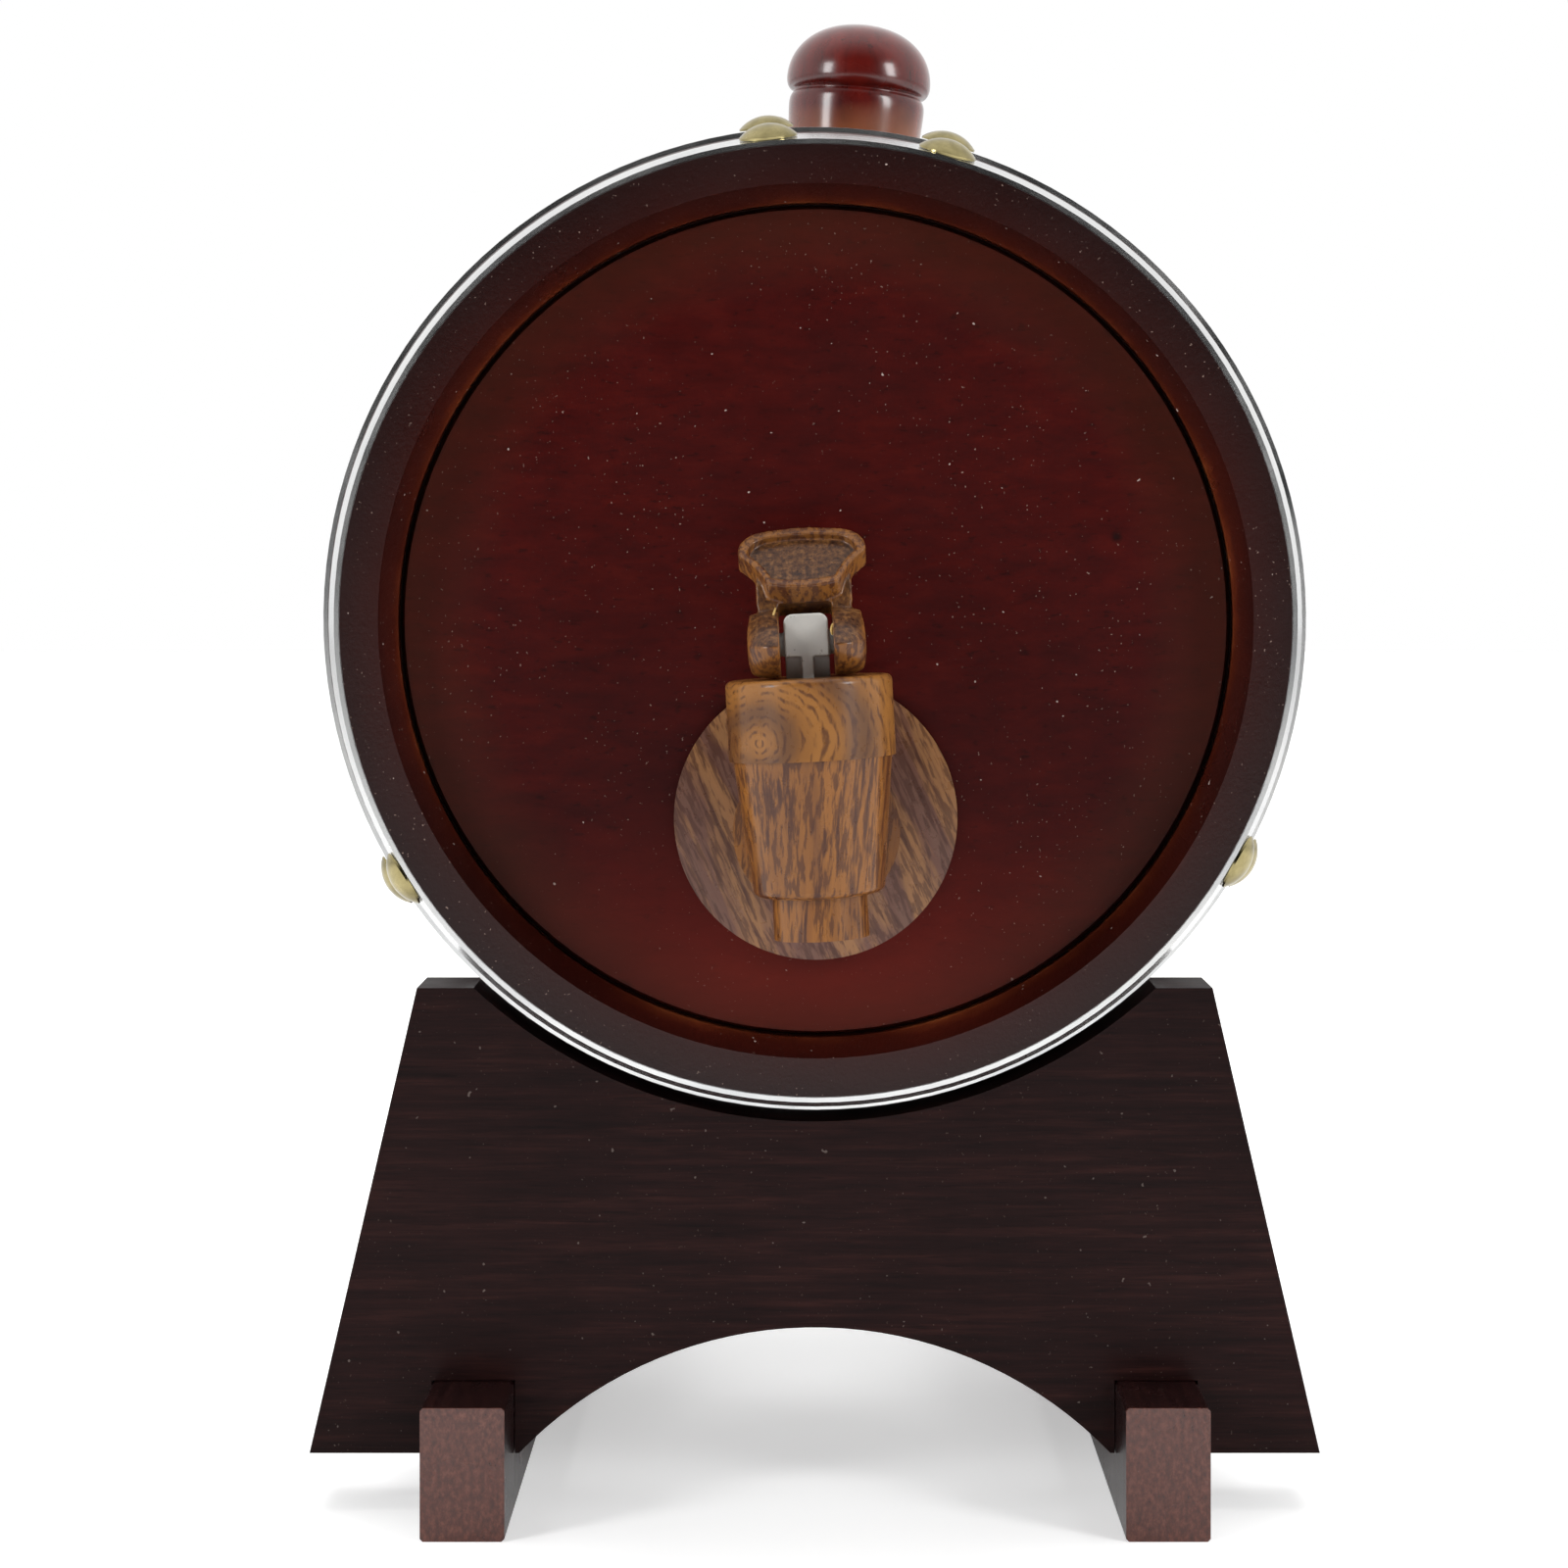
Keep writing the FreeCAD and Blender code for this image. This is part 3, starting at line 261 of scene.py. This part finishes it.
def stave_finish():
    """Stain over sixteen staves, each with its own tone, thin seams, and a painted highlight along the inner
    edge of their ends, stronger in patches.
    """
    finish = wood(
        "stave_wood_stained",
        ((0.011, 0.003, 0.003), (0.03, 0.006, 0.005), (0.075, 0.017, 0.011)),
        (800, 38, 800), rough=0.3, coat=0.2, seed=5, specks=0.35, patch=0.5, shine=0.18,
    )
    along = from_middle(finish)
    first_seam = BUNG_ANGLE - STAVE_ANGLE / 2
    turns = finish.math("DIVIDE", finish.math("SUBTRACT", cask_angle(finish), first_seam), STAVE_ANGLE)
    on_side = finish.grey(along, *STAVE_SIDE)
    tone = finish.tree.nodes.new("ShaderNodeTexWhiteNoise")
    tone.noise_dimensions = "1D"
    finish.link(finish.math("FLOOR", turns), tone.inputs["W"])
    tint = finish.math("MULTIPLY", finish.grey(tone.outputs["Value"], 0, 1, 0.0, 0.5), on_side)
    toned = finish.mix(tint, finish.base_colour(), (0.055, 0.012, 0.007))
    near_seam = finish.math("ABSOLUTE", finish.math("SUBTRACT", finish.math("FRACT", turns), 0.5))
    seam = finish.math("MULTIPLY", finish.grey(near_seam, 0.488, 0.495, 0.0, 0.9), on_side)
    seamed = finish.mix(seam, toned, (0.003, 0.001, 0.001))
    end = finish.grey(along, *STAVE_END)
    # Painted highlight: the stave ends are lighter orange at their inner edge and darken outward, stronger in
    # patches
    wander = finish.noise(finish.stretched((60, 60, 60)), detail=7, rough=0.7)
    uneven = finish.math("MULTIPLY", finish.math("SUBTRACT", wander, 0.5), 0.0026)
    outward = finish.grey(finish.math("ADD", cask_radius(finish), uneven), *EDGE_HIGHLIGHT_RADII)
    strong_edge_highlight = finish.ramp(
        outward,
        (0.0, (0.2, 0.05, 0.014)), (0.04, (0.11, 0.02, 0.007)), (0.12, (0.046, 0.006, 0.003)),
        (0.3, (0.024, 0.0036, 0.0026)), (1.0, (0.012, 0.0034, 0.003)),
    )
    faint_edge_highlight = finish.ramp(
        outward,
        (0.0, (0.07, 0.012, 0.005)), (0.12, (0.036, 0.005, 0.003)), (0.3, (0.02, 0.0034, 0.0026)),
        (1.0, (0.0105, 0.003, 0.0028)),
    )
    highlight_patches = finish.noise(finish.stretched((24, 24, 24), move=(0.4, 0, 0.9)), detail=4)
    end_colour = finish.mix(finish.grey(highlight_patches, 0.4, 0.58), faint_edge_highlight, strong_edge_highlight)
    finish.to("Base Color", finish.mix(end, seamed, dusted(finish, end_colour, 0.7)))
    return finish


def rail_finish():
    """Black glossy lacquer on the long faces, and speckled brown end grain."""
    finish = wood(
        "rail_wood_stained",
        ((0.006, 0.002, 0.002), (0.016, 0.005, 0.005), (0.04, 0.013, 0.01)),
        (900, 50, 900), rough=0.24, coat=0.7, seed=31, specks=0.3, patch=0.5,
    )
    pits = finish.noise(finish.stretched((1500, 1, 900)), detail=5, rough=0.7)
    grain = finish.ramp(
        pits, (0.3, (0.035, 0.009, 0.006)), (0.5, (0.082, 0.021, 0.013)), (0.72, (0.16, 0.052, 0.034)),
    )
    end = finish.grey(from_middle(finish), *RAIL_END)
    finish.to("Base Color", finish.mix(end, finish.base_colour(), grain))
    return finish


head = head_finish()
stave = stave_finish()
rail = rail_finish()
plate = wood(
    "plate_wood_stained",
    ((0.0065, 0.0022, 0.0022), (0.015, 0.0045, 0.0042), (0.036, 0.011, 0.009)),
    (45, 500, 900), rough=0.42, coat=0.04, seed=21, specks=0.16, patch=0.5, bump=0.2, shine=0.09,
)


def bung_finish():
    """Red stain that thins to bare pale wood low on the collar."""
    finish = wood(
        "bung_wood_stained",
        ((0.055, 0.003, 0.002), (0.1, 0.005, 0.003), (0.16, 0.011, 0.005)),
        (260, 260, 60), rough=0.24, coat=0.6, seed=41, patch=0.3, bump=0.1,
    )
    edge = finish.noise(finish.stretched((120, 120, 120)), detail=4)
    above = finish.parts(finish.place)["Z"]
    height = finish.math("ADD", above, finish.math("MULTIPLY", edge, 0.004))
    low = (AXIS_HEIGHT + BARE_WOOD_HEIGHT) * MM
    bare = finish.grey(height, low, low + 0.007, 0.9, 0.0)
    finish.to("Base Color", finish.mix(bare, finish.base_colour(), (0.36, 0.12, 0.045)))
    return finish


# Metals
def steel():
    finish = Finish("hoop_steel_rolled", Metallic=1.0, Roughness=0.2, Anisotropic=0.4)
    lines = finish.noise(finish.stretched((60, 2600, 60)), detail=4)
    smears = finish.noise(finish.stretched((45, 45, 45)), detail=5)
    finish.to("Base Color", finish.ramp(smears, (0.3, (0.62, 0.63, 0.64)), (0.65, (0.83, 0.83, 0.82))))
    finish.to("Roughness", finish.grey(lines, 0.3, 0.7, 0.14, 0.3))
    finish.bump(lines, 0.1, 0.00005)
    return finish


def brass():
    finish = Finish("nail_brass_polished", Metallic=1.0, Roughness=0.16)
    smears = finish.noise(finish.stretched((420, 420, 420)), detail=5)
    finish.to("Base Color", finish.ramp(smears, (0.3, (0.24, 0.2, 0.09)), (0.7, (0.46, 0.39, 0.19))))
    finish.to("Roughness", finish.grey(smears, 0.3, 0.7, 0.1, 0.28))
    finish.bump(smears, 0.12, 0.00008)
    return finish


# Plastics
KNOT_RINGS = 5200
KNOT_BANDS = 700
STREAK_DARK = (0.052, 0.016, 0.009)
BANDS = (
    (0.3, (0.1, 0.04, 0.022)),
    (0.42, (0.175, 0.066, 0.017)),
    (0.55, (0.25, 0.096, 0.02)),
    (0.7, (0.195, 0.07, 0.016)),
)


def plastic(name, rough=0.3, coat=0.14):
    finish = Finish(name, Roughness=rough, Coat_Weight=coat, Coat_Roughness=0.08, Specular_IOR_Level=0.28)
    fine = finish.noise(finish.stretched((700, 700, 700)), detail=3)
    finish.to("Roughness", finish.grey(fine, 0.3, 0.7, rough - 0.05, rough + 0.08))
    finish.bump(fine, 0.15, 0.00008)
    return finish


def streaked(name, turn=0.0, seed=0.0, strength=0.75, bands=BANDS):
    """Moulded plastic coloured like wood: slow bands under short dark streaks, both along one line."""
    finish = plastic(name)
    shift = (seed, seed * 1.7, seed * 0.6)
    turned = finish.stretched((1, 1, 1), turn=(0, turn, 0))
    slow = finish.noise(finish.stretched((170, 170, 22), move=shift, source=turned), detail=5, distortion=0.4)
    short = finish.noise(finish.stretched((1700, 1700, 260), move=shift, source=turned), detail=4, rough=0.55)
    long = finish.noise(finish.stretched((900, 900, 60), move=shift, source=turned), detail=5, rough=0.6)
    base = finish.ramp(slow, *bands)
    marked = finish.mix(finish.grey(short, 0.49, 0.57, 0.0, strength * 0.85), base, STREAK_DARK)
    finish.to("Base Color", finish.mix(finish.grey(long, 0.54, 0.62, 0.0, strength), marked, STREAK_DARK))
    return finish


def paint_dish_floor_shade(finish):
    """The thumb dish: its floor, which faces as the tray does below the rim, gets painted shade, dark brown
    with speckles.
    """
    facing = finish.dot(finish.place.node.outputs["Normal"], TRAY_FACING)
    height = finish.dot(finish.place, TRAY_FACING)
    rim = TRAY_TOP.dot(TRAY_FACING)
    deep = finish.grey(height, rim - 0.9 * MM, rim - 0.45 * MM, 1.0, 0.0)
    floor = finish.math("MULTIPLY", deep, finish.grey(facing, 0.72, 0.88))
    speckles = finish.noise(finish.stretched((1500, 1500, 700)), detail=5, rough=0.7)
    # Painted shade: the dish floor is painted dark brown with speckles
    dark = finish.ramp(
        speckles, (0.38, (0.028, 0.011, 0.007)), (0.52, (0.085, 0.034, 0.013)), (0.68, (0.19, 0.085, 0.026)),
    )
    finish.to("Base Color", finish.mix(floor, finish.base_colour(), dark))
    return finish


def knotted(name, knot):
    """The same plastic with rings round a knot, broken up into upright streaks."""
    finish = plastic(name)
    moved = finish.stretched((1, 0, 1.25), move=(-knot[0] * MM, 0, -1.25 * knot[1] * MM))
    waver = finish.noise(finish.stretched((150, 150, 90), move=(3, 0, 1)), detail=4)
    reach = finish.math("ADD", finish.length(moved), finish.math("MULTIPLY", waver, 0.005))
    rings = finish.math("SINE", finish.math("MULTIPLY", reach, KNOT_RINGS))
    slow = finish.math("SINE", finish.math("MULTIPLY", reach, KNOT_BANDS))
    base = finish.ramp(
        finish.grey(slow, -1, 1),
        (0.0, (0.12, 0.05, 0.018)), (0.45, (0.205, 0.082, 0.019)), (1.0, (0.27, 0.112, 0.026)),
    )
    grain = finish.noise(finish.stretched((1100, 1100, 260)), detail=4)
    lines = finish.math("MULTIPLY", finish.grey(rings, 0.0, 0.9, 0.0, 0.75), finish.grey(grain, 0.42, 0.58))
    finish.to("Base Color", finish.mix(lines, base, STREAK_DARK))
    return finish


def milky(name, colour, rough, transmission):
    finish = Finish(name, Roughness=rough, Transmission_Weight=transmission, Subsurface_Weight=0.4, IOR=1.45)
    finish.shader.inputs["Subsurface Radius"].default_value = (0.003, 0.003, 0.003)
    clouds = finish.noise(finish.stretched((300, 300, 300)), detail=4)
    finish.to("Base Color", finish.ramp(clouds, (0.3, tuple(0.86 * part for part in colour)), (0.7, colour)))
    finish.to("Roughness", finish.grey(clouds, 0.3, 0.7, rough, rough + 0.12))
    finish.bump(clouds, 0.1, 0.0001)
    return finish


def dress(names, finish):
    for name in names:
        mesh = NODES[name].data
        mesh.materials.clear()
        mesh.materials.append(finish.material)


dress(["front_head", "rear_head"], head)
dress([f"stave_{number:02d}" for number in range(1, 17)], stave)
dress(["stand_front_plate", "stand_rear_plate"], plate)
dress(["stand_left_rail", "stand_right_rail"], rail)
dress(["bung"], bung_finish())
hoops = ["front_chime_hoop", "front_quarter_hoop", "rear_quarter_hoop", "rear_chime_hoop"]
dress(hoops, steel())
dress([hoop + "_nails" for hoop in hoops], brass())
FLANGE_BANDS = (
    (0.34, (0.13, 0.062, 0.042)),
    (0.46, (0.12, 0.052, 0.036)),
    (0.56, (0.23, 0.108, 0.044)),
    (0.7, (0.27, 0.125, 0.05)),
)
TAP_UP = Vector((-math.sin(TAP_LEAN), 0, math.cos(TAP_LEAN)))
TAP_RIGHT = Vector((math.cos(TAP_LEAN), 0, math.sin(TAP_LEAN)))
TRAY_TILT = math.radians(40)
TRAY_FACING = TAP_UP * math.cos(TRAY_TILT) - Vector((0, math.sin(TRAY_TILT), 0))
TRAY_TOP = TAP_CENTRE + TAP_UP * (PIN_HEIGHT + 7.5 * MM) - Vector((0, 1.43 * MM, 0))
dress(["tap_body", "tap_nut"], streaked("tap_plastic_body", turn=-TAP_LEAN, seed=2.0, strength=0.85))
dress(["tap_cap"], knotted("tap_plastic_cap", (-7.2, 111.3)))
# Painted shade: the lever takes the tap's bands darkened to 0.85, against the top light on its upward face
SHADED_LEVER_BANDS = tuple((place, tuple(0.85 * part for part in colour)) for place, colour in BANDS)
lever_finish = streaked("tap_plastic_lever", seed=6.1, strength=0.9, bands=SHADED_LEVER_BANDS)
dress(["tap_lever"], paint_dish_floor_shade(lever_finish))
dress(["tap_flange"], streaked("tap_plastic_flange", turn=FLANGE_TURN, seed=8.7, bands=FLANGE_BANDS))
dress(["tap_stem"], milky("stem_plastic_milky", (0.66, 0.64, 0.6), 0.25, 0.25))
dress(
    ["tap_seat_cup", "tap_front_gasket", "tap_rear_gasket"],
    milky("silicone_milky", (0.82, 0.81, 0.78), 0.45, 0.2),
)


# Softly moulded and turned pieces
BILGE_RADIUS = 74.0
BUNG_SIDES = 64
BUNG_PROFILE = (
    (8.27, -14.0), (8.34, -13.7), (8.9, -1.0), (9.0, 0.0), (9.9, 0.08), (10.4, 0.1), (10.48, 0.3),
    (10.6, 3.0), (10.85, 6.0), (10.98, 8.0), (10.92, 9.1), (10.6, 9.8), (10.3, 10.1), (10.6, 10.4),
    (11.2, 10.75), (11.6, 11.6), (11.66, 12.7), (11.5, 14.2), (11.0, 15.8), (10.1, 17.4),
    (8.7, 18.9), (6.8, 20.2), (4.5, 21.05), (2.2, 21.5), (0.6, 21.6),
)
BODY_FOOT = -8.35 * MM
BODY_SHOULDER = 9.1 * MM
BODY_INNER = 6.2 * MM
BODY_OUTER = 10.6 * MM
BODY_FADE = 1.5 * MM
BODY_GROWTH = 0.6 * MM
MOULD_CELL = 0.14 * MM


def turned_bung():
    """The bung as turned: a full round head, a thin groove and a soft collar; it replaces the node."""
    lean = math.radians(BUNG_ANGLE)
    foot = Vector((math.sin(lean) * BILGE_RADIUS, 0, AXIS_HEIGHT + math.cos(lean) * BILGE_RADIUS)) * MM
    stand = Matrix.Translation(foot) @ Matrix.Rotation(lean, 4, "Y")
    points = []
    for radius, height in BUNG_PROFILE:
        for side in range(BUNG_SIDES):
            angle = 2 * math.pi * side / BUNG_SIDES
            corner = Vector((radius * math.cos(angle), radius * math.sin(angle), height))
            points.append(stand @ (corner * MM))
    faces = [list(reversed(range(BUNG_SIDES)))]
    for ring in range(len(BUNG_PROFILE) - 1):
        low, high = ring * BUNG_SIDES, (ring + 1) * BUNG_SIDES
        for side in range(BUNG_SIDES):
            after = (side + 1) % BUNG_SIDES
            faces.append([low + side, low + after, high + after, high + side])
    faces.append([len(points) - BUNG_SIDES + side for side in range(BUNG_SIDES)])
    mesh = bpy.data.meshes.new("bung_turned")
    mesh.from_pydata(points, [], faces)
    mesh.shade_smooth()
    mesh.materials.append(NODES["bung"].data.materials[0])
    turned = placed("bung_turned", mesh)
    rounded = turned.modifiers.new("rounded", "SUBSURF")
    rounded.levels = 2
    rounded.render_levels = 2
    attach(turned, "bung")
    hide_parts("bung")


def fuller_body():
    """The tap body with the fuller lower end that it has in moulding; it replaces the node."""
    copy = placed("tap_body_moulded", NODES["tap_body"].data.copy())
    for vertex in copy.data.vertices:
        away = vertex.co - TAP_CENTRE
        up = away.dot(TAP_UP)
        side = away.dot(TAP_RIGHT)
        reach = math.hypot(side, away.y)
        if not (BODY_FOOT <= up <= BODY_SHOULDER and BODY_INNER <= reach <= BODY_OUTER):
            continue
        lowness = (BODY_SHOULDER - up) / (BODY_SHOULDER - BODY_FOOT)
        growth = BODY_GROWTH * lowness * min(1.0, (reach - BODY_INNER) / BODY_FADE)
        vertex.co = vertex.co + TAP_RIGHT * (growth * side / reach)
        if away.y < 0:
            vertex.co.y += growth * away.y / reach
    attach(copy, "cask")
    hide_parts("tap_body")


def flexing_cup():
    """The seat cup as a copy of the node with its placement baked in; it replaces the node."""
    copy = placed("tap_seat_cup_flexing", NODES["tap_seat_cup"].data.copy())
    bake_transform(copy)
    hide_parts("tap_seat_cup")


def softened(node, body, rounds):
    """The node with the small radii that moulding leaves on every edge; it replaces the node."""
    source = NODES[node]
    copy = placed(node + "_moulded", source.data.copy())
    even = copy.modifiers.new("even", "REMESH")
    even.mode = "VOXEL"
    even.voxel_size = MOULD_CELL
    even.use_smooth_shade = True
    soften = copy.modifiers.new("soften", "SMOOTH")
    soften.factor = 0.5
    soften.iterations = rounds
    graph = bpy.context.evaluated_depsgraph_get()
    mesh = bpy.data.meshes.new_from_object(copy.evaluated_get(graph))
    copy.modifiers.clear()
    copy.data = mesh
    mesh.materials.clear()
    mesh.materials.append(source.data.materials[0])
    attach(copy, body)
    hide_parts(node)
    return copy


def dome_ears(lever):
    """Round the ears like barrels: towards their outer faces they grow shorter and thinner."""
    pin = TAP_CENTRE + TAP_UP * PIN_HEIGHT
    inner, width, top, fading = 3.4 * MM, 4.05 * MM, 5.2 * MM, 1.4 * MM
    for vertex in lever.data.vertices:
        away = vertex.co - pin
        up = away.dot(TAP_UP)
        side = away.dot(TAP_RIGHT)
        out = (abs(side) - inner) / width
        if up > top or out <= 0:
            continue
        fade = min(1.0, (top - up) / fading)
        thinner = 0.34 * out ** 2.4 * fade
        shorter = 0.16 * out ** 3 * fade
        drawn_in = 0.1 * (abs(up) / top) ** 3 * fade
        vertex.co.y -= away.y * thinner
        vertex.co = vertex.co - TAP_UP * up * shorter - TAP_RIGHT * side * drawn_in * out


def flash(name, route):
    """A thin tapering sliver of plastic left on an edge by the mould."""
    curve = bpy.data.curves.new(name, "CURVE")
    curve.dimensions = "3D"
    curve.bevel_depth = 0.2 * MM
    curve.bevel_resolution = 3
    curve.use_fill_caps = True
    spline = curve.splines.new("NURBS")
    spline.points.add(len(route) - 1)
    for index, (point, place) in enumerate(zip(spline.points, route)):
        spot = TAP_CENTRE + TAP_RIGHT * place[0] * MM + TAP_UP * place[2] * MM
        point.co = (spot.x, spot.y + place[1] * MM, spot.z, 1)
        point.radius = 1.25 - index / len(route)
    spline.order_u = 3
    spline.use_endpoint_u = True
    sliver = placed(name, curve)
    curve.materials.append(flash_finish.material)
    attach(sliver, "lever")


turned_bung()
fuller_body()
flexing_cup()
dome_ears(softened("tap_lever", "lever", 18))
flash_finish = plastic("tap_plastic_flash")
flash_tone = flash_finish.noise(flash_finish.stretched((900, 900, 900)), detail=3)
flash_colour = flash_finish.ramp(flash_tone, (0.3, (0.3, 0.17, 0.035)), (0.7, (0.6, 0.4, 0.13)))
flash_finish.to("Base Color", flash_colour)
flash("mould_flash_left", [(-4.4, -1.5, 26.3), (-4.1, -2.0, 27.2), (-3.7, -1.9, 28.3)])
flash("mould_flash_right", [(3.5, -4.0, 25.9), (3.0, -4.4, 25.2), (3.3, -4.5, 24.6)])
softened("tap_stem", "stem", 4)
for name in ("stand_front_plate", "stand_rear_plate"):
    ease = NODES[name].modifiers.new("eased_edges", "BEVEL")
    ease.width = 0.35 * MM
    ease.segments = 2
    ease.limit_method = "ANGLE"
    ease.angle_limit = math.radians(40)


# Floor, light and camera
def make_floor():
    """A pale floor that takes the shadows and is lifted towards white for the camera alone."""
    mesh = bpy.data.meshes.new("floor")
    half = 6.0
    corners = [(-half, -half, 0), (half, -half, 0), (half, half, 0), (-half, half, 0)]
    mesh.from_pydata(corners, [], [(0, 1, 2, 3)])
    floor = placed("floor", mesh)
    finish = Finish("floor_pale", Roughness=0.6, Specular_IOR_Level=0.2)
    clouds = finish.noise(finish.stretched((3, 3, 3)))
    finish.to("Base Color", finish.ramp(clouds, (0.3, (0.9, 0.9, 0.9)), (0.7, (0.93, 0.93, 0.93))))
    tree = finish.tree
    glow = tree.nodes.new("ShaderNodeEmission")
    path = tree.nodes.new("ShaderNodeLightPath")
    lift = finish.math("MULTIPLY", path.outputs["Is Camera Ray"], 0.42)
    finish.link(lift, glow.inputs["Strength"])
    both = tree.nodes.new("ShaderNodeAddShader")
    finish.link(finish.shader.outputs[0], both.inputs[0])
    finish.link(glow.outputs[0], both.inputs[1])
    finish.link(both.outputs[0], tree.nodes["Material Output"].inputs["Surface"])
    mesh.materials.append(finish.material)


def make_light(name, place, target, width, height, power, mirrored=True):
    data = bpy.data.lights.new(name, "AREA")
    data.shape = "RECTANGLE"
    data.size = width
    data.size_y = height
    data.energy = power
    lamp = placed(name, data)
    lamp.location = place
    lamp.rotation_euler = (Vector(target) - Vector(place)).to_track_quat("-Z", "Y").to_euler()
    lamp.visible_glossy = mirrored


def make_world():
    """White where the camera looks; for the light, bright round the sides and back and dim in front."""
    world = bpy.data.worlds.new("studio")
    world.use_nodes = True
    bpy.context.scene.world = world
    tree = world.node_tree
    background = tree.nodes["Background"]
    place = tree.nodes.new("ShaderNodeTexCoord")
    split = tree.nodes.new("ShaderNodeSeparateXYZ")
    tree.links.new(place.outputs["Generated"], split.inputs[0])
    fade = tree.nodes.new("ShaderNodeMapRange")
    for name, amount in (("From Min", -0.75), ("From Max", -0.1), ("To Min", 0.03), ("To Max", 0.95)):
        fade.inputs[name].default_value = amount
    tree.links.new(split.outputs["Y"], fade.inputs["Value"])
    path = tree.nodes.new("ShaderNodeLightPath")
    choose = tree.nodes.new("ShaderNodeMix")
    choose.data_type = "FLOAT"
    choose.inputs[3].default_value = 1.0
    tree.links.new(path.outputs["Is Camera Ray"], choose.inputs[0])
    tree.links.new(fade.outputs["Result"], choose.inputs[2])
    tree.links.new(choose.outputs[0], background.inputs["Strength"])
    background.inputs["Color"].default_value = (1, 1, 1, 1)


def make_camera():
    data = bpy.data.cameras.new("camera")
    data.sensor_width = 36.0
    data.lens = 72.9
    data.shift_x = -0.0106
    data.shift_y = -0.125
    camera = placed("camera", data)
    camera.location = (-0.002, -0.514, 0.1307)
    camera.rotation_euler = (math.radians(90), 0, 0)
    bpy.context.scene.camera = camera


make_floor()
make_world()
make_light("softbox_left", (-0.95, -0.75, 0.5), (0, -0.09, 0.11), 0.3, 0.6, 7)
make_light("softbox_right", (0.95, -0.75, 0.5), (0, -0.09, 0.11), 0.3, 0.6, 7)
make_light("softbox_top", (0, 0.1, 1.3), (0, 0, 0.1), 1.1, 0.7, 10, mirrored=False)
make_camera()
bpy.context.scene.view_settings.view_transform = "Standard"
